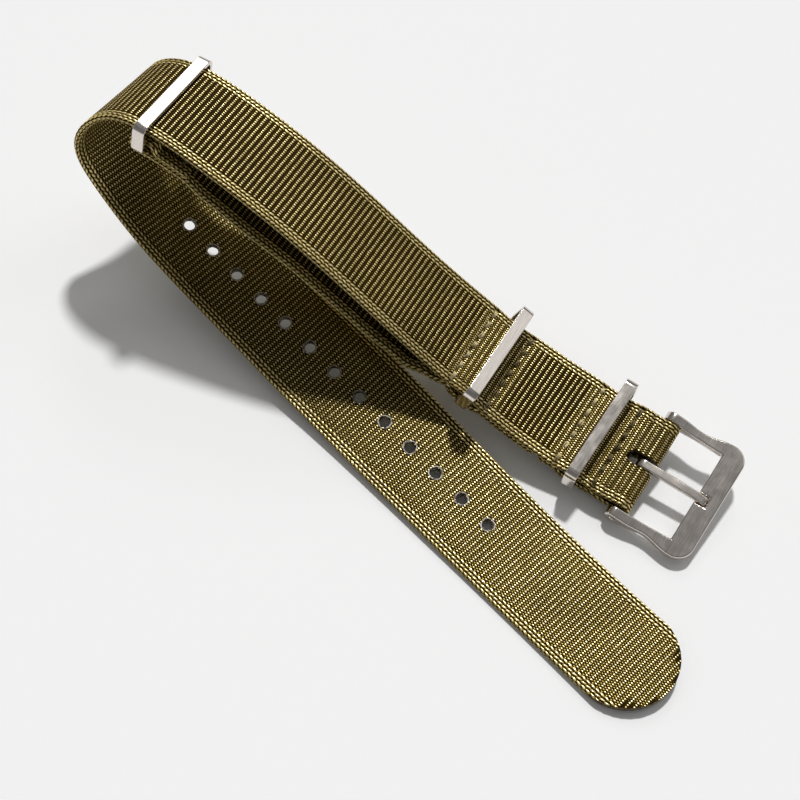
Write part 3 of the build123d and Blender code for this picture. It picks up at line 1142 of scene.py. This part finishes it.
@dataclass
class MainStrap:
    """Long webbing, from its flap round the buckle's bar to the round tip."""

    lie: StrapLie
    flap_end: float = 16.3
    hole_count: int = 13
    hole_pitch: float = 6.66
    hole_radius: float = 1.05
    hole_depth: float = 4.0
    hole_sides: int = 28
    first_hole: float = 151.0
    rim_radius: float = 1.24
    rim_thickness: float = 0.22
    rim_stretch: float = 3.1
    rim_segments: tuple = (36, 10)
    rim_waves: int = 3
    rim_swell: float = 0.035
    rim_unevenness: float = 0.012
    rim_seed: int = 5
    slot_width: float = 2.6
    slot_top: float = 3.4
    slot_sides: int = 32
    fold_reach: float = 2.8
    middle_margin: float = 0.0001
    cut_depth: float = 6.0
    tip_sides: int = 96
    tip_block: tuple = (1.4, 3.0, 5.0)
    stitch_pulls: tuple = (0.42, 0.3)
    tight_reaches: tuple = (5.2, 5.4, 4.6)
    tight_fades: tuple = (1.2, 1.2, 1.0)
    gathers: tuple = ((0.9, 0.4, 0.18), (2.9, 0.45, 0.2))

    def places(self, step: float) -> list:
        """Rows along the webbing.

        Args:
            step: distance between rows.

        Returns:
            Centre, direction across, width and travelled length of each row.
        """
        lie = self.lie
        rows = []
        turn_length = math.pi * lie.fold_radius
        travelled = -self.flap_end - turn_length
        count = round(self.flap_end / step)
        for index in range(count):
            length = self.flap_end * (1 - index / count)
            rows.append(lie.row(length, lie.flap_depth(length), travelled + self.flap_end - length))
        count = round(turn_length / step)
        for index in range(count):
            at = (0, turn_length * (index / count - 1))
            rows.append(lie.fold_row(lie.bar(), lie.fold_radius, math.pi * (1 - index / count), at))
        count = round(lie.length / step)
        for index in range(count + 1):
            length = lie.length * index / count
            rows.append(lie.row(length, 0.0, length))
        return rows

    def hole_places(self) -> list:
        """Places of the sizing holes."""
        count = range(self.hole_count)
        return [self.lie.seat(self.first_hole + index * self.hole_pitch) for index in count]

    def hole_cutters(self) -> list:
        """Build the cutters of the sizing holes.

        Returns:
            A cylinder through the tail for each hole.
        """
        cutters = []
        for seat in self.hole_places():
            cutter = cylinder(self.hole_radius, self.hole_depth, self.hole_sides)
            cutter.matrix_world = seat.matrix()
            settle(cutter)
            cutters.append(cutter)
        return cutters

    def slot_cutter(self) -> Thing:
        """Build the cutter of the tongue's slot, which has a round end on the top layer.

        Returns:
            The cutter.
        """
        radius = self.slot_width / 2
        slot = cylinder(radius, self.cut_depth, self.slot_sides)
        far = self.fold_reach + self.slot_top - radius
        for vertex in slot.data.vertices:
            if vertex.co.x > self.middle_margin * MM:
                vertex.co.x = far * MM
            vertex.co.x -= (self.slot_top - radius) * MM
        slot.matrix_world = self.lie.bar().matrix()
        settle(slot)
        return slot

    def tip_cutter(self) -> Thing:
        """Build what is cut away from the tail's end to leave it round.

        Returns:
            The cutter.
        """
        radius = WEB_WIDTH / 2
        long, wide, high = self.tip_block
        disc = cylinder(radius, self.cut_depth, self.tip_sides)
        deselect()
        bpy.ops.mesh.primitive_cube_add(size=1.0)
        block = bpy.context.object
        for vertex in block.data.vertices:
            x, y, z = vertex.co
            vertex.co = Vector(((x - 0.5) * long * radius, y * wide * radius, z * high)) * MM
        subtract(block, disc)
        block.matrix_world = self.lie.seat(self.lie.length - radius).matrix()
        settle(block)
        return block

    def rims(self, melted: Material) -> Thing:
        """Build the melted collars of the sizing holes, as one piece.

        Args:
            melted: their finish.

        Returns:
            The piece.
        """
        chooser = random.Random(self.rim_seed)
        uneven = self.rim_unevenness
        segments, sides = self.rim_segments
        collars = []
        for index, seat in enumerate(self.hole_places()):
            deselect()
            bpy.ops.mesh.primitive_torus_add(
                major_segments=segments,
                minor_segments=sides,
                major_radius=self.rim_radius * MM,
                minor_radius=self.rim_thickness * MM,
            )
            collar = bpy.context.object
            for vertex in collar.data.vertices:
                x, y, z = vertex.co
                wave = math.sin(self.rim_waves * math.atan2(y, x) + index)
                lump = 1 + self.rim_swell * wave + chooser.uniform(-uneven, uneven)
                vertex.co = Vector((x * lump, y * lump, z * self.rim_stretch))
            collar.matrix_world = seat.matrix()
            settle(collar)
            collars.append(collar)
        piece = joined(collars, "hole_rims")
        piece.data.materials.append(melted)
        activate(piece)
        bpy.ops.object.shade_smooth()
        return piece

    def skin(self) -> WovenSkin:
        """Describe the skin, drawn in at the sewing and gathered at the fold.

        Returns:
            The skin, not built yet.
        """
        lie = self.lie
        tight = (lie.front_ring, lie.middle_ring, 0.0)
        rings = tuple(zip(tight, self.tight_reaches, self.tight_fades))
        rows = ((lie.front_ring, lie.front_row), (lie.middle_ring, lie.middle_row))
        sewn = tuple(
            SewnLine(ring + way * distance, pull)
            for ring, distance in rows
            for way, pull in zip((-1, 1), self.stitch_pulls)
        )
        return WovenSkin("woven_main_strap", sewn=sewn, gathers=self.gathers, rings=rings)

    def build(self, webbing: Material, punched: Material, sealed: Material) -> list:
        """Build the strap and its hole rims.

        Args:
            webbing: the woven finish.
            punched: the finish of the hole rims.
            sealed: the finish of cut edges.

        Returns:
            The pieces made.
        """
        skin = self.skin()
        piece = skin.build(self.places(RIB_PITCH / skin.rows_per_rib))
        piece.data.materials.append(webbing)
        cutters = [*self.hole_cutters(), self.slot_cutter(), self.tip_cutter()]
        tool = joined(cutters, f"{piece.name}_cutter")
        coat(tool, sealed)
        subtract(piece, tool)
        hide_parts("main_strap")
        rims = self.rims(punched)
        for thing in (piece, rims):
            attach(thing, "strap")
        return [piece, rims]


@dataclass
class KeeperStrap:
    """Short webbing under the main strap, its end folded round the rear ring's lower bar."""

    lie: StrapLie
    start: float = 17.9
    stub_length: float = 10.5
    fold_shift: float = 0.995

    def places(self, step: float) -> list:
        """Rows along the webbing.

        Args:
            step: distance between rows.

        Returns:
            Centre, direction across, width and travelled length of each row.
        """
        lie = self.lie
        rows = []
        fold_at = lie.rear_ring + self.fold_shift
        count = round((fold_at - self.start) / step)
        for index in range(count):
            length = self.start + (fold_at - self.start) * index / count
            rows.append(lie.row(length, lie.keeper_depth(length), length))
        radius = lie.keeper_fold_radius()
        axis = lie.seat(fold_at, lie.rear_bar_depth)
        count = round(math.pi * radius / step)
        for index in range(count):
            at = (fold_at, fold_at + math.pi * radius * index / count)
            rows.append(lie.fold_row(axis, radius, math.pi * (1 + index / count), at))
        end = lie.rear_ring - self.stub_length
        count = round((fold_at - end) / step)
        for index in range(count + 1):
            length = fold_at + (end - fold_at) * index / count
            travelled = 2 * fold_at - length + math.pi * radius
            rows.append(lie.row(length, lie.stub_depth(length), travelled))
        return rows

    def build(self, webbing: Material) -> list:
        """Build the strap.

        Args:
            webbing: the woven finish.

        Returns:
            The piece made, in a list.
        """
        skin = WovenSkin("woven_keeper_strap")
        piece = skin.build(self.places(RIB_PITCH / skin.rows_per_rib))
        piece.data.materials.append(webbing)
        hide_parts("keeper_strap")
        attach(piece, "strap")
        return [piece]


@dataclass
class SteelPiece:
    """A steel node whose edges are softened on a copy of its solid."""

    node: str
    name: str
    body: str
    round_off: float
    weld_distance: float = 0.002
    flat_angle: float = 1.0
    edge_angle: float = 35.0
    segments: int = 4
    face_weight: int = 80

    def build(self, frame: dict, finish: Material) -> Thing:
        """Build the piece.

        Args:
            frame: the loaded frame.
            finish: its material.

        Returns:
            The piece.
        """
        activate(frame["nodes"][self.node])
        bpy.ops.object.duplicate()
        piece = bpy.context.object
        piece.parent = None
        for key in list(piece.keys()):
            del piece[key]
        rename(piece, self.name)
        open_mesh(piece)
        bpy.ops.mesh.remove_doubles(threshold=self.weld_distance * MM)
        bpy.ops.mesh.dissolve_limited(angle_limit=math.radians(self.flat_angle))
        bpy.ops.object.mode_set(mode="OBJECT")
        soften = piece.modifiers.new("soften", "BEVEL")
        soften.width = self.round_off * MM
        soften.segments = self.segments
        soften.limit_method = "ANGLE"
        soften.angle_limit = math.radians(self.edge_angle)
        soften.use_clamp_overlap = False
        bpy.ops.object.modifier_apply(modifier=soften.name)
        bpy.ops.object.shade_smooth()
        level = piece.modifiers.new("level", "WEIGHTED_NORMAL")
        level.weight = self.face_weight
        bpy.ops.object.modifier_apply(modifier=level.name)
        coat(piece, finish)
        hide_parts(self.node)
        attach(piece, self.body)
        return piece


@dataclass
class BarSpring:
    """The spring inside the bar, in two halves, one towards each plunger."""

    lie: StrapLie
    travel: float = 1.0
    wire_radius: float = 0.1
    coil_radius: float = 0.36
    turns: int = 9
    steps: int = 16
    smooth_angle: float = 50.0

    def half(self, frame: dict, side: str, way: Vector, finish: Material) -> Thing:
        """Build the half on one side.

        Args:
            frame: the loaded frame.
            side: which plunger presses it, near or far.
            way: unit vector from the bar's middle towards that plunger.
            finish: its material.

        Returns:
            The half.
        """
        seat = self.lie.bar()
        anchor = seat.centre * MM
        around = way.cross(seat.outward)
        corners = frame["nodes"]["bar_spring"].data.vertices
        long = max((corner.co - anchor).dot(way) for corner in corners) / MM
        reach = long - self.wire_radius
        curve = new_curve()
        curve.data.splines.clear()
        spline = curve.data.splines.new("POLY")
        count = self.turns * self.steps
        spline.points.add(count)
        for index, point in enumerate(spline.points):
            angle = math.tau * index / self.steps
            spoke = seat.outward * math.cos(angle) + around * math.sin(angle)
            place = seat.centre + way * (reach * index / count) + spoke * self.coil_radius
            point.co = (*(place * MM), 1.0)
        piece = tube(curve, self.wire_radius)
        rename(piece, f"{side}_spring_half")
        weld(piece)
        bpy.ops.object.shade_smooth_by_angle(angle=math.radians(self.smooth_angle))
        coat(piece, finish)
        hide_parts("bar_spring")
        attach(piece, "strap")
        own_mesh(piece)
        return piece

    def build(self, frame: dict, finish: Material) -> list:
        """Build both halves.

        Args:
            frame: the loaded frame.
            finish: their material.

        Returns:
            The two halves.
        """
        low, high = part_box("near_plunger")
        bar = self.lie.bar()
        near = (Vector(low) + Vector(high)) / 2 - bar.centre * MM
        way = bar.across if near.dot(bar.across) > 0 else -bar.across
        return [self.half(frame, "near", way, finish), self.half(frame, "far", -way, finish)]


@dataclass
class Stitches:
    """One row of sewing: separate stitches, each a few loose strands over both faces."""

    lie: StrapLie
    node: str
    length: float
    bottom_depth: float
    top_depth: float = 0.0
    span: float = 1.55
    strands: int = 3
    strand_radius: float = 0.13
    strand_spacing: float = 1.7
    looseness: float = 0.2
    lifts: tuple = (0.5, 1.3)
    reaches: tuple = (0.86, 1.08)
    top_slip: float = 0.12
    top_shift: float = 0.15
    entry_depth: float = 0.32
    arch: float = 0.12
    smoothness: int = 7
    seed: int = 1

    def strand(
        self, chooser: random.Random, middle: float, out: float, way: float, slip: float
    ) -> Thing:
        """One strand of a stitch, arched over the webbing.

        Args:
            chooser: source of the small differences.
            middle: place of the stitch across the strap.
            out: height of the webbing's face.
            way: 1 above the webbing and -1 below.
            slip: place of the strand along the strap.

        Returns:
            The strand as a mesh.
        """
        seat = self.lie.seat(self.length)
        curve = new_curve()
        spline = curve.data.splines[0]
        spline.bezier_points.add(1)
        lift = chooser.uniform(*self.lifts) * self.looseness
        half = self.span / 2 * chooser.uniform(*self.reaches)
        along = slip + chooser.uniform(-self.top_slip, self.top_slip)
        across = middle + chooser.uniform(-self.top_shift, self.top_shift)
        low = out - way * self.entry_depth
        top = (along, across, out + way * (self.arch + lift))
        spots = ((slip, middle - half, low), top, (slip, middle + half, low))
        for point, spot in zip(spline.bezier_points, spots):
            point.co = seat.point(*spot) * MM
            point.handle_left_type = "AUTO"
            point.handle_right_type = "AUTO"
        curve.data.resolution_u = self.smoothness
        return tube(curve, self.strand_radius)

    def build(self, thread: Material) -> Thing:
        """Build the row.

        Args:
            thread: its material.

        Returns:
            The row as one piece.
        """
        chooser = random.Random(self.seed)
        half = WEB_THICKNESS / 2
        pieces = []
        for index in range(STITCH_COUNT):
            middle = (index - (STITCH_COUNT - 1) / 2) * STITCH_PITCH
            for number in range(self.strands):
                place = number - (self.strands - 1) / 2
                slip = place * self.strand_spacing * self.strand_radius
                pieces.append(self.strand(chooser, middle, half - self.top_depth, 1.0, slip))
            pieces.append(self.strand(chooser, middle, -self.bottom_depth - half, -1.0, 0.0))
        row = joined(pieces, self.node.replace("stitches", "threads"))
        settle(row)
        weld(row)
        bpy.ops.object.shade_smooth()
        coat(row, thread)
        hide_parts(self.node)
        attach(row, "strap")
        return row


@dataclass(frozen=True)
class Lamp:
    """A far round lamp: the way to it, its width in degrees and its share of the floor's light."""

    name: str
    way: tuple
    width: float
    share: float


@dataclass
class Studio:
    """Pale floor, a high lamp behind the strap, soft boxes round it and the camera."""

    lie: StrapLie
    camera_elevation: float = 57.53
    camera_distance: float = 296.5
    camera_roll: float = 10.0
    tail_turn: float = -37.3
    view_base: tuple = (45.2, -7.9, 5.8)
    focal_pixels: float = 1600.0
    image_pixels: float = 800.0
    sensor: float = 36.0
    clip: tuple = (0.01, 20.0)
    floor_size: float = 6000.0
    floor_drop: float = 0.02
    floor_colour: float = 0.83
    floor_roughness: float = 0.9
    floor_specular: float = 0.05
    sky: float = 0.01
    background: float = 0.87
    zenith: float = 0.16
    background_height: float = 0.3
    # The floor's glow is painted light; the contact reach is how far the occlusion that fades it,
    # as painted contact shade, looks.
    floor_glow: float = 0.2
    contact_reach: float = 20.0
    contact_samples: int = 8
    lamps: tuple = (
        Lamp("high_lamp", (0.013, 0.546, 1.0), 5.0, 0.7),
        Lamp("back_softbox", (-0.066, 0.752, 0.656), 16.0, 0.04),
        Lamp("right_softbox", (0.56, 0.38, 0.74), 36.0, 0.05),
        Lamp("overhead_softbox", (0.0, 0.1, 1.0), 70.0, 0.02),
    )

    def turn(self) -> Matrix:
        """Rotation from the camera's frame to the strap's."""
        return Matrix.Rotation(-math.radians(self.tail_turn), 3, "Z")

    def add_camera(self) -> None:
        """Add the camera at the photograph's place."""
        tilt = math.radians(self.camera_elevation)
        place = self.camera_distance * Vector((0, -math.cos(tilt), math.sin(tilt)))
        ahead = -place.normalized()
        right = Vector((1, 0, 0))
        up = right.cross(ahead)
        roll = math.radians(self.camera_roll)
        level = right * math.cos(roll) + up * math.sin(roll)
        rise = up * math.cos(roll) - right * math.sin(roll)
        turn = self.turn()
        axes = Matrix((turn @ level, turn @ rise, turn @ -ahead)).transposed().to_4x4()
        spot = turn @ (place - Vector(self.view_base)) + self.lie.shift
        data = bpy.data.cameras.new("camera")
        data.sensor_width = self.sensor
        data.lens = self.focal_pixels * self.sensor / self.image_pixels
        data.clip_start, data.clip_end = self.clip
        camera = bpy.data.objects.new("camera", data)
        bpy.context.scene.collection.objects.link(camera)
        camera.matrix_world = Matrix.Translation(spot * MM) @ axes
        bpy.context.scene.camera = camera

    def add_floor(self) -> None:
        """Add the pale floor, whose open parts glow faintly to the camera and in the steel: the
        glow is painted light that lifts the floor's shadows, and it fades under and near the strap
        by ambient occlusion, as painted contact shade.
        """
        deselect()
        place = (0, 0, -self.floor_drop * MM)
        bpy.ops.mesh.primitive_plane_add(size=self.floor_size * MM, location=place)
        floor = bpy.context.object
        floor.name = "floor"
        material, s, shader = new_material("pale_floor")
        # Painted contact shade: the glow fades where the strap covers the floor.
        contact = {"Distance": self.contact_reach * MM}
        open_air = s.add("ShaderNodeAmbientOcclusion", contact, samples=self.contact_samples)
        glow = s.math("MULTIPLY", open_air.outputs["AO"], self.floor_glow)
        path = s.add("ShaderNodeLightPath").outputs
        seen = s.math("MAXIMUM", path["Is Camera Ray"], path["Is Glossy Ray"])
        s.feed(shader, {
            "Base Color": (*(self.floor_colour,) * 3, 1.0),
            "Roughness": self.floor_roughness,
            "Specular IOR Level": self.floor_specular,
            "Emission Color": (1.0, 1.0, 1.0, 1.0),
            "Emission Strength": s.math("MULTIPLY", seen, glow),
        })
        floor.data.materials.append(material)

    def add_lamp(self, lamp: Lamp) -> None:
        """Add one far lamp.

        Args:
            lamp: where it is, how wide it looks and how much of the floor's light it gives.
        """
        way = (self.turn() @ Vector(lamp.way)).normalized()
        data = bpy.data.lights.new(lamp.name, "SUN")
        data.energy = lamp.share * math.pi / way.z
        data.angle = math.radians(lamp.width)
        light = bpy.data.objects.new(lamp.name, data)
        bpy.context.scene.collection.objects.link(light)
        light.rotation_euler = (-way).to_track_quat("-Z", "Y").to_euler()

    def add_world(self) -> None:
        """Add a faint sky, which the camera sees pale and steel sees as a band at the horizon."""
        world = bpy.data.worlds.new("studio")
        bpy.context.scene.world = world
        world.use_nodes = True
        s = Shading(world.node_tree)
        direction = s.add("ShaderNodeTexCoord").outputs["Generated"]
        way = s.add("ShaderNodeSeparateXYZ", {"Vector": direction}).outputs
        band = s.ramp(way["Z"], self.background_height, 0.0)
        shown = self.background - self.sky
        mirrored = s.span(band, self.zenith - self.sky, shown)
        path = s.add("ShaderNodeLightPath").outputs
        pale = s.math("MULTIPLY", path["Is Glossy Ray"], mirrored)
        pale = s.math("MULTIPLY_ADD", path["Is Camera Ray"], shown, pale)
        s.feed(world.node_tree.nodes["Background"], {
            "Color": (1.0, 1.0, 1.0, 1.0),
            "Strength": s.math("ADD", pale, self.sky),
        })

    def build(self) -> None:
        """Add everything round the strap."""
        bpy.context.scene.view_settings.view_transform = "Standard"
        self.add_camera()
        self.add_floor()
        for lamp in self.lamps:
            self.add_lamp(lamp)
        self.add_world()


@dataclass
class Sewing:
    """The five rows of sewing: two at each of the two sewn rings, and one at the keeper's end."""

    lie: StrapLie
    front_seed: int = 11
    middle_seed: int = 13
    end_seed: int = 15

    def build(self, loose: Material, deep: Material) -> list:
        """Build the rows.

        Args:
            loose: thread of the rows on the loop's side of the rings.
            deep: the same thread with painted shade, for the other rows, which lie in the rings'
                shade.

        Returns:
            The rows.
        """
        lie = self.lie
        made = []
        rings = (
            ("front", lie.front_ring, lie.front_row, lie.flap_depth, self.front_seed),
            ("middle", lie.middle_ring, lie.middle_row, lie.keeper_depth, self.middle_seed),
        )
        for name, ring, distance, depth, seed in rings:
            for turn, (side, way, thread) in enumerate((("bar", -1, deep), ("loop", 1, loose))):
                node = f"{name}_ring_{side}_side_stitches"
                place = ring + way * distance
                row = Stitches(lie, node, place, depth(place), seed=seed + turn)
                made.append(row.build(thread))
        place = lie.rear_ring - lie.rear_row
        depths = lie.keeper_depth(place), lie.stub_depth(place)
        row = Stitches(lie, "keeper_end_stitches", place, *depths, seed=self.end_seed)
        made.append(row.build(deep))
        return made


@dataclass
class Steelwork:
    """Rings, buckle and the spring bar inside the fold."""

    lie: StrapLie
    ring_round_off: float = 0.14
    hoop_round_off: float = 0.34
    prong_round_off: float = 0.28

    def rings(self, frame: dict, grain: bpy.types.NodeTree) -> list:
        """Build the three rings, each brushed along its own bar.

        Args:
            frame: the loaded frame.
            grain: the shared grain group.

        Returns:
            The rings.
        """
        lie = self.lie
        made = []
        places = (("front", lie.front_ring), ("middle", lie.middle_ring), ("rear", lie.rear_ring))
        for name, length in places:
            steel = SteelFinish(f"{name}_ring_steel", tuple(lie.seat(length).across)).build(grain)
            node = f"{name}_ring"
            ring = SteelPiece(node, f"{name}_keeper_ring", node, self.ring_round_off)
            made.append(ring.build(frame, steel))
        return made

    def buckle(self, frame: dict, grain: bpy.types.NodeTree) -> list:
        """Build the buckle's hoop and prong.

        Args:
            frame: the loaded frame.
            grain: the shared grain group.

        Returns:
            The two pieces.
        """
        bar = self.lie.bar()
        steel = SteelFinish("buckle_steel", tuple(bar.across), stretch=0.08).build(grain)
        hoop = SteelPiece("buckle_frame", "buckle_hoop", "buckle_frame", self.hoop_round_off)
        made = [hoop.build(frame, steel)]
        steel = SteelFinish("tongue_steel", tuple(bar.towards_buckle), roughness=0.2).build(grain)
        prong = SteelPiece("buckle_tongue", "buckle_prong", "buckle_tongue", self.prong_round_off)
        made.append(prong.build(frame, steel))
        return made

    def spring_bar(self, frame: dict, grain: bpy.types.NodeTree) -> list:
        """Build the spring's halves, and dress the tube and the plungers of the solids.

        Args:
            frame: the loaded frame.
            grain: the shared grain group.

        Returns:
            The spring's halves.
        """
        along = tuple(self.lie.bar().across)
        bright = SteelFinish("bar_steel", along, roughness=0.2, scratch=0.01).build(grain)
        for node in ("bar_tube", "near_plunger", "far_plunger"):
            coat(frame["nodes"][node], bright)
        return BarSpring(self.lie).build(frame, bright)

    def build(self, frame: dict, grain: bpy.types.NodeTree) -> list:
        """Build all of it.

        Args:
            frame: the loaded frame.
            grain: the shared grain group.

        Returns:
            The pieces made.
        """
        made = self.rings(frame, grain) + self.buckle(frame, grain)
        return made + self.spring_bar(frame, grain)


def main() -> None:
    """Build every sub-assembly in order."""
    logging.basicConfig(level=logging.INFO)
    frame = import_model()
    lie = StrapLie()
    lie.walk()
    Studio(lie).build()
    webbing = WebbingFinish().build(WeaveGroup().build())
    made = MainStrap(lie).build(webbing, PUNCHED.build(), SEALED.build())
    made += KeeperStrap(lie).build(webbing)
    made += Sewing(lie).build(LOOSE.build(), SHADED_THREAD.build())
    made += Steelwork(lie).build(frame, GrainGroup().build())
    for piece in made:
        log.info("%s: %d faces", piece.name, len(piece.data.polygons))


if __name__ == "__main__":
    main()
